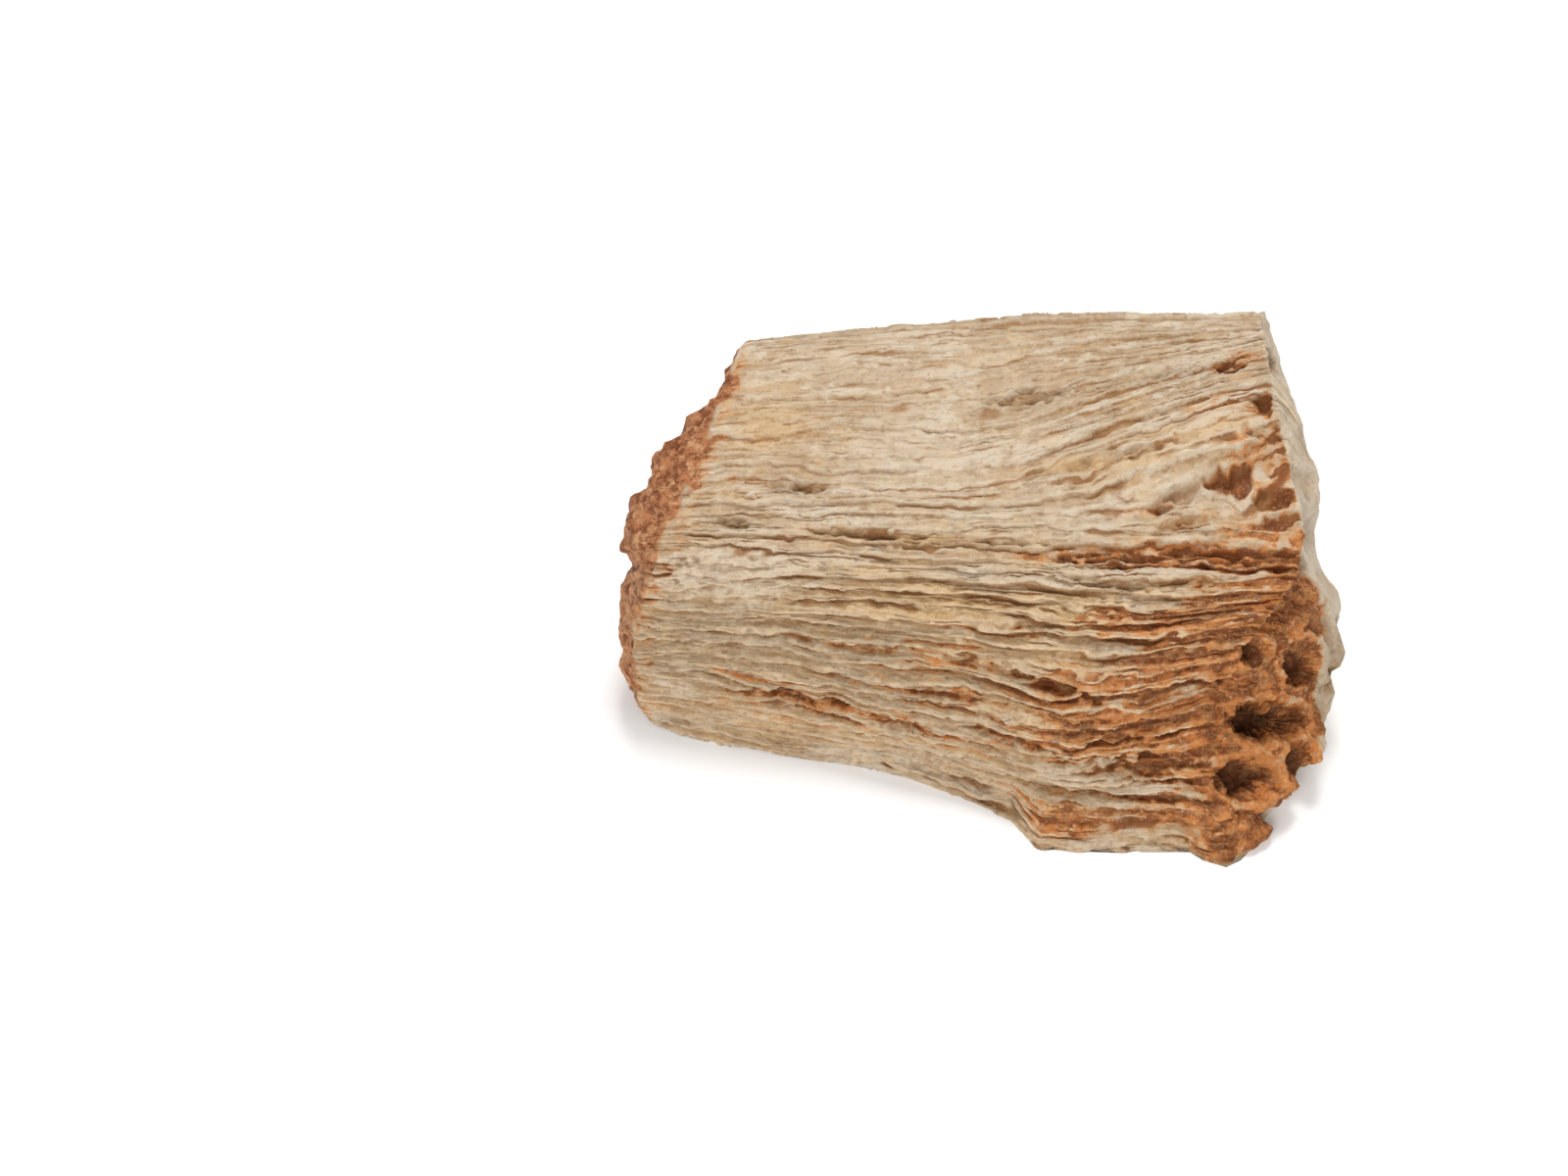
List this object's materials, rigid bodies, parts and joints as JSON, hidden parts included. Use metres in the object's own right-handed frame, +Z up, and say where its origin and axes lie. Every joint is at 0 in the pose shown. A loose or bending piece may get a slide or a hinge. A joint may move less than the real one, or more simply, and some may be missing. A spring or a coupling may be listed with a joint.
{
  "type": "fossil coral",
  "caption": "Block of fossil colonial coral, split along its corallites into ridges and ragged ledges, with open cups on the growth end and a worn rusty crust on the other.",
  "frame": {"origin": "middle of the block in plan, on the plane it rests on", "axes": "+X along the corallites towards the growth end with the open cups, +Y towards the steep back, +Z up from the flat base"},
  "size_m": [0.1042, 0.0712, 0.0439],
  "materials": {
    "coral_limestone": "matte"
  },
  "bodies": {
    "root": {"fossil_coral": "coral_limestone"}
  },
  "joints": []
}
